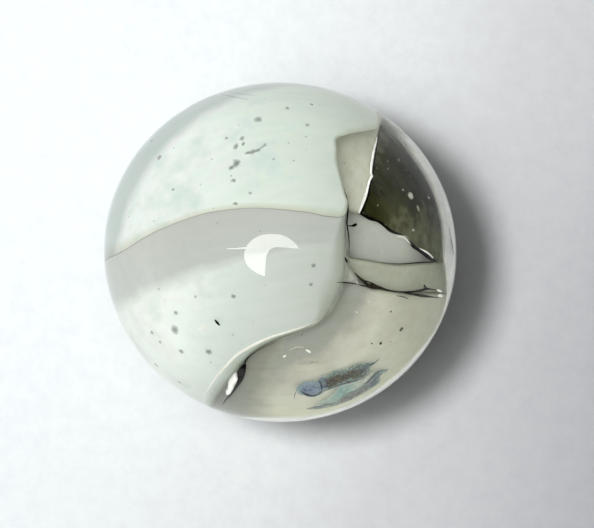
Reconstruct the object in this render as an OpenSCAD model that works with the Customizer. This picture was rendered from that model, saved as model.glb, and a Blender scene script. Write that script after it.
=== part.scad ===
// A glass marble: a ball of clear glass, a little out of round, with white opal
// glass folded inside it.
// +Z is up, the origin is the centre of the ball, and X is its longest way across.
//
// The white glass is one body: an upper lobe just under the surface, a lower lobe
// tucked beneath it, a curtain that drops from the edge they share, and a bowl that
// carries the curtain round under both lobes. The curtain and the bowl each have an
// opening on the +X side, and clear glass fills it.
//
// The folds follow a true ball of the marble's height. The outside is that ball
// drawn out to its width and its depth, so the clear skin varies by about 0.15 mm.
// The sizes of the folds are given for a marble of the drawn size. In any other marble
// they all scale together, by whichever of its three sizes leaves them the least room.

/* [Ball] */
// Longest way across, along X
ball_w = 16.3; // [12:0.1:25]
// Shortest way across, along Y
ball_d = 15.7; // [12:0.1:25]
// Height, along Z
ball_h = 16; // [12:0.1:25]

/* [Upper lobe] */
// Clear glass over the upper lobe
upper_depth = 0.5; // [0.3:0.05:0.7]
// Thickness of the upper lobe
upper_t = 0.7; // [0.5:0.05:1.1]
// How far the upper lobe runs down past the middle of the ball
upper_drop = 3; // [1:0.1:4]
// Radius of the arch that forms its free edge
arch_r = 12.9; // [11:0.1:15]
// Height of the top of that arch, from the centre along Y
arch_y = 2.1; // [1:0.1:3]

/* [Lower lobe] */
// Thickness of the lower lobe
lower_t = 0.7; // [0.5:0.05:1.1]
// How much of the upper lobe's thickness is fused into the lower lobe
lobe_fuse = 0.3; // [0.1:0.05:0.4]
// How far the lower lobe runs down past the middle of the ball
lower_drop = 3.6; // [1:0.1:4]
// Radius of the bay cut into its free edge
bay_r = 5.8; // [4:0.1:7]
// Centre of that bay, [x, y]
bay_centre = [1.9, -9];

/* [Curtain] */
// Thickness of the curtain
curtain_t = 0.45; // [0.3:0.05:0.8]
// Place of the curtain's +X face, which the right edges of both lobes share
curtain_x = 2.9; // [2:0.1:3.5]
// Reach of the curtain towards -Y
curtain_front = 3.2; // [2:0.1:4]
// Reach of the curtain towards +Y
curtain_back = 4.6; // [3.8:0.1:4.7]

/* [Bowl] */
// Clear glass between the bowl and the surface
bowl_depth = 2.2; // [1.6:0.1:2.8]
// Thickness of the bowl
bowl_t = 0.5; // [0.4:0.05:0.9]
// How far the bowl's rim lies below the middle of the ball
bowl_rim = 0.8; // [0.5:0.1:3]

/* [Opening] */
// Length of the opening in the curtain, along Y
window_l = 3.6; // [2:0.1:4.5]
// Clear edge of the opening nearest the front, from the centre along Y
window_y = 0; // [-0.5:0.1:1]
// Height of the top of the opening, above the middle of the ball
window_top = 1.4; // [0:0.1:2.5]
// Radius of the opening in the bowl
gap_r = 1.7; // [1:0.1:2.5]

/* [Hidden] */
$fn = 180;
eps = 0.01;
// The marble that the sizes of the folds are given for: [width, depth, height]
drawn_size = [16.3, 15.7, 16];
ball_r = drawn_size[2] / 2;
reach = 2 * ball_r;
fold_scale = min(ball_w / drawn_size[0], ball_d / drawn_size[1], ball_h / drawn_size[2]);
outside_scale = [ball_w, ball_d, ball_h] / (2 * ball_r);

lower_depth = upper_depth + upper_t - lobe_fuse;
arch_centre = [-0.3, arch_y - arch_r];
side_low = [curtain_x, 1.7];
side_mid = [curtain_x - 0.3, 4.4];
side_high = [curtain_x + 1.5, reach];
gap_centre = [curtain_x - 0.7, window_y + window_l / 2];

// A ball concentric with the marble, with its surface this far below the marble's.
// Its poles lie along X, clear of the folds' edges.
module ball_at(depth) {
    rotate([0, 90, 0])
        sphere(r = ball_r - depth);
}

// A sheet of even thickness that follows the surface at a given depth
module sheet(depth, t) {
    difference() {
        ball_at(depth);
        ball_at(depth + t);
    }
}

// Everything above a level
module above(level) {
    translate([-reach, -reach, level])
        cube([2 * reach, 2 * reach, reach]);
}

// A lobe as seen from above, from a level upwards
module upright(level) {
    translate([0, 0, level])
        linear_extrude(height = reach)
            children();
}

// The lobes as seen from above: everything on the -X side of the edge they share
module lobe_side() {
    polygon([
        [-reach, -reach],
        [curtain_x, -reach],
        side_low,
        side_mid,
        side_high,
        [-reach, reach]
    ]);
}

module upper_lobe() {
    intersection() {
        sheet(upper_depth, upper_t);
        upright(-upper_drop)
            difference() {
                lobe_side();
                translate(arch_centre)
                    circle(r = arch_r);
            }
    }
}

module lower_lobe() {
    intersection() {
        sheet(lower_depth, lower_t);
        upright(-lower_drop)
            difference() {
                lobe_side();
                translate(bay_centre)
                    circle(r = bay_r);
            }
    }
}

// The opening is a straight slot through the curtain with a round upper end
module curtain_opening() {
    translate([curtain_x - curtain_t - eps, window_y, -reach])
        cube([curtain_t + 2 * eps, window_l, reach + window_top - window_l / 2]);
    translate([curtain_x - curtain_t - eps, window_y + window_l / 2, window_top - window_l / 2])
        rotate([0, 90, 0])
            cylinder(r = window_l / 2, h = curtain_t + 2 * eps);
}

module curtain() {
    difference() {
        intersection() {
            between_lobes_and_bowl();
            translate([curtain_x - curtain_t, -curtain_front, -reach])
                cube([curtain_t, curtain_front + curtain_back, 2 * reach]);
        }
        curtain_opening();
    }
}

// The curtain runs from halfway into the lower lobe down to halfway into the bowl
module between_lobes_and_bowl() {
    ball_at(bowl_depth + bowl_t / 2);
    intersection() {
        ball_at(lower_depth + lower_t / 2);
        above(0);
    }
}

module bowl() {
    difference() {
        sheet(bowl_depth, bowl_t);
        above(-bowl_rim);
        translate([gap_centre[0], gap_centre[1], -reach])
            cylinder(r = gap_r, h = reach);
    }
}

module folds() {
    scale(fold_scale) {
        upper_lobe();
        lower_lobe();
        curtain();
        bowl();
    }
}

module clear_glass() {
    color("gainsboro", 0.35)
        difference() {
            scale(outside_scale)
                ball_at(0);
            folds();
        }
}

module white_glass() {
    color("honeydew")
        folds();
}

clear_glass();
white_glass();
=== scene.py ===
import math
import random

import bmesh
import bpy
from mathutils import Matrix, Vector, geometry, noise


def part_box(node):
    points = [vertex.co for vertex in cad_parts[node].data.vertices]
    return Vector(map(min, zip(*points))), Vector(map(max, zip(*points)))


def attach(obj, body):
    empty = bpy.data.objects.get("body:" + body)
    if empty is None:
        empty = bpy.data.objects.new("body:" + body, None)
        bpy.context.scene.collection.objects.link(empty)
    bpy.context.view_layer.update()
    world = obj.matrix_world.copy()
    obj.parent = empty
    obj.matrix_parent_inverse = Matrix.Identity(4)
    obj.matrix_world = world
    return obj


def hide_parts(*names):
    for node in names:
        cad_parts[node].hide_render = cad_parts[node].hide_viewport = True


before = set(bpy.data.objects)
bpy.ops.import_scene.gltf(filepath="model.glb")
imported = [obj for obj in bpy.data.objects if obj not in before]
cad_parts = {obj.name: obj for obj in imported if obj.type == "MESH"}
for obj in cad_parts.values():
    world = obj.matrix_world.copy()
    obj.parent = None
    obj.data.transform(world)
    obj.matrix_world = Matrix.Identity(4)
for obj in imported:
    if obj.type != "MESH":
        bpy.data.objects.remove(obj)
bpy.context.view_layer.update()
print("frame loaded")

mm = 0.001
scene = bpy.context.scene

# the ball's own size comes from the frame, and everything inside is placed from it
ballLow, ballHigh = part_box("clear_glass")
ballMiddle = (ballLow + ballHigh) / 2
ballHalf = (ballHigh - ballLow) / 2 / mm      # half width, half depth and half height, in mm
glassIor = 1.52                               # soda-lime glass

# Places inside the ball are in mm from its centre. Depth is the clear glass over a place.
rimLimit = 0.998                              # share of the squared way to the rim, past which nothing shows
bevelDrop = 0.92                              # share of a fold's thickness that its rounded edge drops
bevelRows = (0.15, 0.4, 0.7, 1.0, 1.2)        # rows of points up that edge, in bevel widths
rowSlack = 0.9                                # a row's points stay this share of their way from every side
fieldStart = 1.35                             # where the even field of points begins, in bevel widths
farthestShare = 5                             # how far in, in bevel widths, the material can tell
finestThread = 0.01                           # mm across, where a thread tapers out
lumpsAcross = 1.7                             # how many bumps an uneven pebble has along its radius
lumpStride = 3.1                              # how far on in the noise the next pebble is


def squeezed(point, depth):
    # the inner ball at this depth, taken as a ball of radius 1
    return Vector([point[i] / (ballHalf[i] - depth) for i in range(3)])


def onInnerBall(direction, depth):
    return Vector([direction[i] * (ballHalf[i] - depth) for i in range(3)])


def globe(azimuth, polar):
    # a direction by its angle round Z and its angle down from the top, in degrees
    a, p = math.radians(azimuth), math.radians(polar)
    return Vector((math.cos(a) * math.sin(p), math.sin(a) * math.sin(p), math.cos(p)))


def seen(x, y, depth):
    # The direction of the place at this depth that shows at x and y from straight above.
    # The glass bends the sight line, so an edge given as it shows lands in its true place.
    flat = (x / ballHalf[0]) ** 2 + (y / ballHalf[1]) ** 2
    if flat > rimLimit:
        inward = math.sqrt(rimLimit / flat)
        x, y, flat = x * inward, y * inward, rimLimit
    entry = Vector((x, y, ballHalf[2] * math.sqrt(1 - flat)))
    normal = Vector([entry[i] / ballHalf[i] ** 2 for i in range(3)]).normalized()
    cosIn = normal.z
    cosOut = math.sqrt(1 - (1 - cosIn * cosIn) / glassIor ** 2)
    ray = Vector((0, 0, -1)) / glassIor + (cosIn / glassIor - cosOut) * normal
    start, step = squeezed(entry, depth), squeezed(ray, depth)
    a, b, c = step.dot(step), 2 * start.dot(step), start.dot(start) - 1
    t = (-b - math.sqrt(max(0, b * b - 4 * a * c))) / (2 * a)
    return (start + step * t).normalized()


def unrolled(direction):
    # an equal-area map of the ball, with its top in the middle
    return Vector((direction.x, direction.y)) * math.sqrt(2 / (1 + direction.z))


def rolled(flat):
    s = min(flat.length_squared, 3.99)        # at 4, the middle of the underside, the map ends
    return Vector((flat.x * math.sqrt(1 - s / 4), flat.y * math.sqrt(1 - s / 4), 1 - s / 2))


def smoothCurve(points, perStep, closed):
    # a curve through the points, as many steps to each as asked
    count = len(points)
    out = []
    for i in range(count if closed else count - 1):
        if closed:
            a, b, c, d = (points[(i + k - 1) % count] for k in range(4))
        else:
            a, b, c, d = (points[min(max(i + k - 1, 0), count - 1)] for k in range(4))
        for j in range(perStep):
            t = j / perStep
            out.append(0.5 * (2 * b + (c - a) * t + (2 * a - 5 * b + 4 * c - d) * t * t
                              + (3 * b - a - 3 * c + d) * t ** 3))
    if not closed:
        out.append(points[-1])
    return out


def meshObject(name, points, faces, material):
    # a closed mesh from points in mm, which rides on the marble
    mesh = bpy.data.meshes.new(name)
    mesh.from_pydata([ballMiddle + p * mm for p in points], [], faces)
    mesh.update()
    piece = bpy.data.objects.new(name, mesh)
    scene.collection.objects.link(piece)
    bm = bmesh.new()
    bm.from_mesh(mesh)
    bmesh.ops.recalc_face_normals(bm, faces=bm.faces)
    bm.to_mesh(mesh)
    bm.free()
    mesh.shade_smooth()
    mesh.materials.append(material)
    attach(piece, "root")
    print(name, len(faces), "faces")
    return piece


def nearest(point, loop):
    # distance to the loop, and which of its points is nearest
    best, where = 1e9, 0
    for i, q in enumerate(loop):
        d = (point - q).length_squared
        if d < best:
            best, where = d, i
    # the nearest place is on one of the two sides that meet there
    corner = loop[where]
    for other in (loop[where - 1], loop[(where + 1) % len(loop)]):
        side = other - corner
        t = min(1, max(0, (point - corner).dot(side) / side.length_squared))
        best = min(best, (point - corner - side * t).length_squared)
    return math.sqrt(best), where


def sheet(name, spec, material, depthAt=None):
    # A fold of glass that follows the ball at a depth. Its outline is given as it shows from
    # above, (x, y), and where that can't reach, by globe angles ("globe", azimuth, polar). One
    # number more is the width of the bevel there.
    depth, thick, step = spec["depthMm"], spec["thickMm"], spec["meshMm"]
    radius = ballHalf[2] - depth
    corners, bevels = [], []
    rim = depth + bevelDrop * thick
    for entry in spec["outline"]:
        if entry[0] == "globe":
            entry = entry[1:]
            direction = globe(entry[0], entry[1])
        else:
            direction = seen(entry[0], entry[1], rim)
            if depthAt:
                direction = seen(entry[0], entry[1], rim + depthAt(direction))
        corners.append(unrolled(direction))
        bevels.append(entry[2] if len(entry) > 2 else spec["bevelMm"])
    perStep = spec.get("perStep", 8)
    loop = smoothCurve(corners, perStep, True)
    count = len(loop)
    bevelAt = []
    for i in range(count):
        k, t = divmod(i, perStep)
        t /= perStep
        bevelAt.append((bevels[k] * (1 - t) + bevels[(k + 1) % len(bevels)] * t) / radius)
    area = sum(loop[i].x * loop[(i + 1) % count].y - loop[(i + 1) % count].x * loop[i].y
               for i in range(count))
    turn = 1 if area > 0 else -1
    # the loop first, then rows that run alongside it up the bevel, then an even field
    flat = list(loop)
    for row in bevelRows:
        for i in range(count):
            along = (loop[(i + 1) % count] - loop[i - 1]).normalized()
            inward = Vector((-along.y, along.x)) * turn
            p = loop[i] + inward * bevelAt[i] * row
            away, where = nearest(p, loop)
            if away > rowSlack * bevelAt[where] * row:
                flat.append(p)
    gap = step / radius
    low = Vector((min(p.x for p in loop), min(p.y for p in loop)))
    high = Vector((max(p.x for p in loop), max(p.y for p in loop)))
    rowHeight = gap * math.sqrt(0.75)
    for r in range(int((high.y - low.y) / rowHeight) + 1):
        y = low.y + r * rowHeight
        crossings = []
        for i in range(count):
            a, b = loop[i], loop[(i + 1) % count]
            if (a.y > y) != (b.y > y):
                crossings.append(a.x + (y - a.y) * (b.x - a.x) / (b.y - a.y))
        for c in range(int((high.x - low.x) / gap) + 1):
            x = low.x + (c + 0.5 * (r % 2)) * gap
            if sum(1 for q in crossings if q < x) % 2 == 0:
                continue
            p = Vector((x, y))
            away, where = nearest(p, loop)
            if away > max(bevelAt[where] * fieldStart, gap / 2):
                flat.append(p)
    # triangles between all of these, only inside the loop
    edges = [(i, (i + 1) % count) for i in range(count)]
    flat, edges, triangles = geometry.delaunay_2d_cdt(flat, edges, [], 1, 1e-6)[:3]
    top, under, shares = [], [], []
    for p in flat:
        away, where = nearest(p, loop)
        share = away / bevelAt[where]
        t = min(1, share)
        rise = t * t * (3 - 2 * t) if spec.get("softEdge") else math.sqrt(t)
        direction = rolled(p)
        here = depth + (depthAt(direction) if depthAt else 0)
        here += spec.get("waveMm", 0) * noise.noise(direction * spec.get("waveScale", 2.5))
        top.append(onInnerBall(direction, here + thick * (1 - rise) * bevelDrop))
        under.append(onInnerBall(direction, here + thick))
        shares.append(min(share, farthestShare))
    size = len(flat)
    faces = [tuple(t) for t in triangles] + [tuple(i + size for i in reversed(t)) for t in triangles]
    sides = {(t[i], t[(i + 1) % 3]) for t in triangles for i in range(3)}
    faces += [(b, a, a + size, b + size) for a, b in sides if (b, a) not in sides]
    piece = meshObject(name, top + under, faces, material)
    # how far each point is from the edge, in bevel widths, for the material
    attribute = piece.data.attributes.new("edgeShare", "FLOAT", "POINT")
    attribute.data.foreach_set("value", shares * 2)
    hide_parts("white_glass")


def threads(name, spec, material):
    # Fine lines in the glass, flat and tapering. Each path is (depth, points), and each point is
    # (x, y, width) as it shows from above.
    points, faces = [], []
    sides = 8
    for depth, path in spec["paths"]:
        line = smoothCurve([Vector(p) for p in path], spec["perStep"], False)
        rings = []
        for i, p in enumerate(line):
            here = onInnerBall(seen(p.x, p.y, depth), depth)
            before, after = line[max(i - 1, 0)], line[min(i + 1, len(line) - 1)]
            along = (onInnerBall(seen(after.x, after.y, depth), depth)
                     - onInnerBall(seen(before.x, before.y, depth), depth)).normalized()
            out = here.normalized()
            across = along.cross(out).normalized()
            half = max(p.z, finestThread) / 2
            rise = min(half, spec["thickMm"] / 2)
            rings.append(len(points))
            for k in range(sides):
                turn = 2 * math.pi * k / sides
                points.append(here + across * half * math.cos(turn) + out * rise * math.sin(turn))
        for a, b in zip(rings, rings[1:]):
            for k in range(sides):
                n = (k + 1) % sides
                faces.append((a + k, a + n, b + n, b + k))
        faces.append(tuple(rings[0] + k for k in range(sides)))
        faces.append(tuple(rings[-1] + k for k in reversed(range(sides))))
    meshObject(name, points, faces, material)


def pebbles(name, spec, material):
    # Small closed blobs in the glass. Each is (x, y, depth, width, length, turn), as it shows
    # from above, and roughness makes them uneven. Shells inside each other make a soft edge.
    points, faces = [], []
    bm = bmesh.new()
    bmesh.ops.create_icosphere(bm, subdivisions=spec["detail"], radius=1)
    ball = [v.co.copy() for v in bm.verts]
    ballFaces = [tuple(v.index for v in f.verts) for f in bm.faces]
    bm.free()
    for number, (x, y, depth, width, length, turn) in enumerate(spec["places"]):
        out = seen(x, y, depth)
        middle = onInnerBall(out, depth)
        a = math.radians(turn)
        level = Vector((math.cos(a), math.sin(a), 0))
        along = (level - out * out.dot(level)).normalized()
        across = out.cross(along)
        for shell in spec.get("shells", (1.0,)):
            first = len(points)
            for v in ball:
                bump = noise.noise(v * lumpsAcross + Vector((number * lumpStride, 0, 0)))
                grow = shell * (1 + spec["uneven"] * bump)
                points.append(middle + (along * v.x * length + across * v.y * width
                                        + out * v.z * min(width, length)) * grow / 2)
            faces += [tuple(i + first for i in f) for f in ballFaces]
    meshObject(name, points, faces, material)


def linear(hexColour):
    parts = [int(hexColour[i:i + 2], 16) / 255 for i in (1, 3, 5)]
    return (*[c / 12.92 if c <= 0.04045 else ((c + 0.055) / 1.055) ** 2.4 for c in parts], 1.0)


def newMaterial(name):
    material = bpy.data.materials.new(name)
    material.use_nodes = True
    material.node_tree.nodes.clear()
    return material, material.node_tree


def add(tree, kind, settings=None, links=None):
    # one node with its settings, and what feeds its inputs
    node = tree.nodes.new(kind)
    for name, value in (settings or {}).items():
        if name == "stops":
            ramp = node.color_ramp
            while len(ramp.elements) < len(value):
                ramp.elements.new(0.5)
            for element, (place, colour) in zip(ramp.elements, value):
                element.position, element.color = place, linear(colour)
        elif isinstance(name, int) or name in node.inputs:
            node.inputs[name].default_value = value
        else:
            setattr(node, name, value)
    for name, source in (links or {}).items():
        tree.links.new(source, node.inputs[name])
    return node


def mottle(tree, place, sizeMm, tones, detail=2.0, roughness=0.5):
    # patches of about this size, and the tones they take
    patches = add(tree, "ShaderNodeTexNoise", {
        "Scale": 1 / (sizeMm * mm), "Detail": detail, "Roughness": roughness}, {"Vector": place}).outputs[0]
    return patches, add(tree, "ShaderNodeValToRGB", {"stops": tones}, {"Fac": patches}).outputs[0]


def tonesAlong(tree, length, run):
    # a run of tones, each (mm, colour), by a length
    low, high = run[0][0], run[-1][0]
    spread = add(tree, "ShaderNodeMapRange", {"From Min": low * mm, "From Max": high * mm}, {"Value": length})
    stops = [((place - low) / (high - low), colour) for place, colour in run]
    return add(tree, "ShaderNodeValToRGB", {"stops": stops}, {"Fac": spread.outputs[0]}).outputs[0]


def stirred(tree, value, pattern, amount):
    # a value that a pattern pushes up and down, by half of this amount each way
    push = add(tree, "ShaderNodeMath", {
        "operation": "MULTIPLY_ADD", 1: amount, 2: -amount / 2}, {0: pattern})
    return add(tree, "ShaderNodeMath", {"operation": "ADD"}, {0: value, 1: push.outputs[0]}).outputs[0]


def evenMaterial(name, grainMm, tones, settings):
    # one substance all through, with a fine grain of tones
    material, tree = newMaterial(name)
    place = add(tree, "ShaderNodeTexCoord").outputs["Object"]
    tone = mottle(tree, place, grainMm, tones)[1]
    shader = add(tree, "ShaderNodeBsdfPrincipled", settings, {"Base Color": tone})
    add(tree, "ShaderNodeOutputMaterial", {}, {"Surface": shader.outputs[0]})
    return material


def clearGlass(spec):
    # Soda-lime glass, fire-polished: mirror smooth, and olive where it is looked through edge to edge
    material, tree = newMaterial("sodaLimeGlassFirePolished")
    shader = add(tree, "ShaderNodeBsdfPrincipled", {
        "Base Color": linear("#ffffff"), "Roughness": 0.0, "IOR": glassIor, "Transmission Weight": 1.0,
        "Specular Tint": linear(spec["skin"])})
    tint = add(tree, "ShaderNodeVolumeAbsorption", {
        "Color": (*spec["tint"], 1), "Density": spec["tintPerMetre"]})
    add(tree, "ShaderNodeOutputMaterial", {}, {"Surface": shader.outputs[0], "Volume": tint.outputs[0]})
    return material


def opalGlass(name, spec):
    # Opal glass, gathered and folded hot: milky all through, with no gloss of its own inside clear
    # glass. It thins to grey in places and cools in clouds and drawn streaks. Much of its grey is
    # painted shade: darker away from the lamps, under other folds and where a fold turns down, and
    # darker at its rounded edge where that edge turns from the light.
    material, tree = newMaterial(name)
    place = add(tree, "ShaderNodeTexCoord").outputs["Object"]
    flat = add(tree, "ShaderNodeVectorMath", {"operation": "MULTIPLY", 1: (1, 1, 0)}, {0: place}).outputs[0]
    cloud, colour = mottle(tree, place, spec["cloudMm"], spec["cloudTones"], detail=4.0, roughness=0.6)
    # Each shading is a run of tones by the distance in mm from a place, and the darkest one shows.
    # A place of two numbers is an upright line, and of three a point.
    for middle, tones in spec["shadings"]:
        x, y, z = (*middle, 0)[:3]
        reach = add(tree, "ShaderNodeVectorMath", {"operation": "DISTANCE", 1: (x * mm, y * mm, z * mm)},
                    {0: place if len(middle) == 3 else flat})
        reach = stirred(tree, reach.outputs["Value"], cloud, spec["cloudShiftMm"] * mm)
        colour = add(tree, "ShaderNodeMix", {"data_type": "RGBA", "blend_type": "DARKEN", 0: 1.0},
                     {6: colour, 7: tonesAlong(tree, reach, tones)}).outputs[2]
    # Streaks drawn out along the fold. The place is first squeezed by their length and width.
    length, width = spec["streakMm"]
    turned = add(tree, "ShaderNodeVectorRotate", {
        "rotation_type": "Z_AXIS", "Angle": -math.radians(spec["streakAngle"])}, {"Vector": place})
    drawn = add(tree, "ShaderNodeVectorMath", {
        "operation": "MULTIPLY", 1: (1 / length, 1 / width, 1 / width)}, {0: turned.outputs[0]})
    streakTone = mottle(tree, drawn.outputs[0], 1, spec["streakTones"], detail=3.0, roughness=0.6)[1]
    # the rounded edge, in bevel widths; the darker tones there are painted shade
    edge = add(tree, "ShaderNodeAttribute", {"attribute_name": "edgeShare"}).outputs["Fac"]
    edgeTone = add(tree, "ShaderNodeValToRGB", {"stops": spec["edgeShadeTones"]}, {"Fac": edge}).outputs[0]
    for source in (streakTone, edgeTone):
        colour = add(tree, "ShaderNodeMix", {"data_type": "RGBA", "blend_type": "MULTIPLY", 0: 1.0},
                     {6: colour, 7: source}).outputs[2]
    shader = add(tree, "ShaderNodeBsdfPrincipled", {
        "Roughness": 1.0, "IOR": glassIor, "Specular IOR Level": 0.0}, {"Base Color": colour})
    if "throughLight" in spec:
        # a painted glow: the opal's own emission stands for the lamps' light that the ball gathers and
        # lets out through the opal at the far rim
        far = add(tree, "ShaderNodeVectorMath", {"operation": "DOT_PRODUCT", 1: globe(spec["throughTo"], 90)},
                  {0: place})
        low, high = spec["throughMm"]
        lit = add(tree, "ShaderNodeMapRange", {
            "interpolation_type": "SMOOTHSTEP", "From Min": low * mm, "From Max": high * mm,
            "To Max": spec["throughLight"]}, {"Value": far.outputs["Value"]})
        tree.links.new(lit.outputs[0], shader.inputs["Emission Strength"])
        tree.links.new(colour, shader.inputs["Emission Color"])
    if "thinEdge" in spec:
        # drawn out thin, the edge lets what lies under it through
        thin = add(tree, "ShaderNodeMapRange", {
            "interpolation_type": "SMOOTHSTEP", "From Max": spec["thinEdge"]}, {"Value": edge})
        tree.links.new(thin.outputs[0], shader.inputs["Alpha"])
    add(tree, "ShaderNodeOutputMaterial", {}, {"Surface": shader.outputs[0]})
    return material


clearBall = {
    "facesPerSide": 96,                # squares along each side of the cube that is blown up to the ball
    "tint": (0.93, 0.945, 0.66), "tintPerMetre": 60.0,
    "skin": "#e4e4e0",                 # a handled, faintly bloomed skin mirrors less than fresh glass
}


def makeBall():
    n = clearBall["facesPerSide"]
    bm = bmesh.new()
    bmesh.ops.create_cube(bm, size=2)
    bmesh.ops.subdivide_edges(bm, edges=bm.edges, cuts=n - 1, use_grid_fill=True)
    points = []
    for v in bm.verts:
        even = Vector([math.tan(c * math.pi / 4) for c in v.co]).normalized()
        points.append(onInnerBall(even, 0))
    faces = [tuple(v.index for v in f.verts) for f in bm.faces]
    bm.free()
    piece = meshObject("clearBall", points, faces, clearGlass(clearBall))
    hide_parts("clear_glass")


makeBall()
print("clear glass made")

upperLobe = {
    "depthMm": 0.58, "thickMm": 0.08, "bevelMm": 0.16, "meshMm": 0.25, "waveMm": 0.04,
    "thinEdge": 0.15, "softEdge": True,
    "outline": [
        ("globe", 188, 96, 0.9), (-7.7, -0.9, 0.9), (-7.0, -0.5, 0.7), (-5.95, 0.25, 0.45),
        (-5.1, 0.72, 0.35), (-4.2, 1.14, 0.3), (-3.1, 1.52, 0.3), (-1.25, 1.83, 0.3), (1.0, 1.82, 0.4),
        (2.0, 1.7, 0.5), (2.75, 1.8, 0.4), (2.87, 2.4, 0.15), (2.7, 2.85), (2.5, 3.5),
        (2.25, 4.2), (2.2, 4.75), (2.15, 5.1), (2.2, 5.3), (2.4, 5.4, 0.25), (2.87, 5.58, 0.4),
        (3.5, 5.75, 0.4), (3.95, 5.92, 0.3), (4.06, 6.3, 0.2), (3.98, 6.8),
        ("globe", 58, 110), ("globe", 66, 140), ("globe", 100, 152), ("globe", 140, 150),
        ("globe", 170, 140), ("globe", 184, 115),
    ],
    # the first shading is painted shade, darker away from the lamps on the left; the second paints
    # the shade of the greyer strip where the fold turns down along the rim
    "shadings": [
        ((-40, 0), [(33, "#f8ffff"), (37, "#f6fef9"), (40, "#ecf5ed"), (43, "#e0e9e1")]),
        ((2.3, -1.6, 5), [(9.4, "#ffffff"), (9.95, "#ccd6d3"), (11.5, "#c4cfcd"), (12.5, "#ffffff")]),
    ],
    "cloudMm": 1.4, "cloudTones": [(0.35, "#e6f2ee"), (0.6, "#ffffff")], "cloudShiftMm": 0.5,
    "streakMm": (4.0, 0.5), "streakAngle": 20, "streakTones": [(0.3, "#f7fbf9"), (0.6, "#ffffff")],
    "edgeShadeTones": [(0.0, "#e4dfd5"), (0.35, "#eeebe3"), (0.95, "#ffffff")],
}

lowerLobe = {
    "depthMm": 0.7, "thickMm": 0.25, "bevelMm": 0.15, "meshMm": 0.25, "waveMm": 0.05,
    "thinEdge": 0.45, "softEdge": True,
    "outline": [
        (-7.2, 1.9), (-5, 2.9), (-2, 3.5), (0.3, 3.6), (2.2, 3.3),
        (2.68, 2.85), (2.84, 2.2), (2.9, 1.5, 0.4), (3.0, 0.95, 0.7), (3.08, 0.5, 0.9), (3.16, 0.0, 1.0),
        (3.22, -0.5, 1.1), (3.2, -1.0, 1.2), (3.05, -1.6, 1.3), (2.8, -2.2, 1.2), (2.4, -2.8, 0.8),
        (1.9, -3.2, 0.4), (1.0, -3.6, 0.3), (0.1, -4.0, 0.35), (-0.75, -4.55, 0.4),
        (-1.3, -5.25, 0.6), (-1.85, -6.1, 0.6), (-2.3, -6.8, 0.55), (-2.55, -7.3, 0.5),
        ("globe", 252, 110), ("globe", 256, 140), ("globe", 235, 156), ("globe", 210, 158),
        ("globe", 188, 152), ("globe", 174, 120),
    ],
    # the first shading is the greyer band under the upper lobe's free edge, partly thinner opal and partly
    # painted shade under that edge; the second is painted shade, darker away from the lamps
    "shadings": [
        ((5.4, -23.9), [(18, "#ffffff"), (23.9, "#f8fffa"), (24.7, "#cbcfcc"), (26.6, "#cbccc9"),
                        (30, "#cac9c3")]),
        ((-40, 0), [(36, "#f8fffb"), (38.5, "#e0e8e4"), (41.5, "#d4d9d4"), (43.5, "#c8cdc7")]),
    ],
    "cloudMm": 1.5, "cloudTones": [(0.35, "#e6efea"), (0.58, "#ffffff")], "cloudShiftMm": 0.7,
    "throughLight": 0.06, "throughTo": 200, "throughMm": (3, 6.5),
    "streakMm": (4.0, 0.4), "streakAngle": 15, "streakTones": [(0.3, "#f9fbf9"), (0.6, "#ffffff")],
    "edgeShadeTones": [(0.0, "#d4d5cd"), (0.5, "#e4e6df"), (1.0, "#ffffff")],
    # it dives by this much, that way, between two shares of the way to the rim
    "diveMm": 0.01, "diveTowards": (-0.277, 0.961, 0), "diveBetween": (0.025, 0.3),
}

underFold = {
    "throughLight": 0.07, "throughTo": -80, "throughMm": (3, 6.5),
    "depthMm": 1.55, "thickMm": 0.3, "bevelMm": 0.2, "meshMm": 0.3, "waveMm": 0.1, "waveScale": 3.0,
    "outline": [
        (2.6, -0.6), (3.5, -0.8), (4.12, -1.22), (4.72, -1.27), (5.66, -1.37), (6.58, -1.3), (7.85, -1.3),
        ("globe", -12, 124), ("globe", -35, 150), ("globe", -75, 156), ("globe", -105, 150),
        ("globe", -113, 110), (-3.4, -6.6), (-2.6, -4.6), (-1.0, -3.0), (1.0, -2.0),
    ],
    # painted shade: darker by the lower lobe's edge, under its lip towards the lower left rim, and towards
    # the right rim, away from the lamps
    "shadings": [
        ((-2.5, 1), [(4.9, "#cfd1cb"), (5.7, "#aaaca7"), (6.5, "#afb1ab"), (6.95, "#d0cfc5"),
                     (7.8, "#ebebe0"), (9, "#fcfcf4")]),
        ((-7.5, -2), [(6.2, "#a9aca4"), (7.2, "#9c9e96"), (7.7, "#9fa198"), (8.3, "#bfc0b5"),
                      (8.9, "#e8e7dc"), (9.4, "#fbfbf1")]),
        ((-26, -14), [(29, "#ffffff"), (31.5, "#eaebe0"), (33.8, "#d5d6c8")]),
    ],
    "cloudMm": 1.3, "cloudTones": [(0.35, "#eeeee8"), (0.6, "#fffffa")], "cloudShiftMm": 1.2,
    "streakMm": (4.0, 0.35), "streakAngle": 8, "streakTones": [(0.3, "#f6f6f1"), (0.6, "#ffffff")],
    "edgeShadeTones": [(0.0, "#8c887a"), (0.6, "#ffffff")],
}

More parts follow.
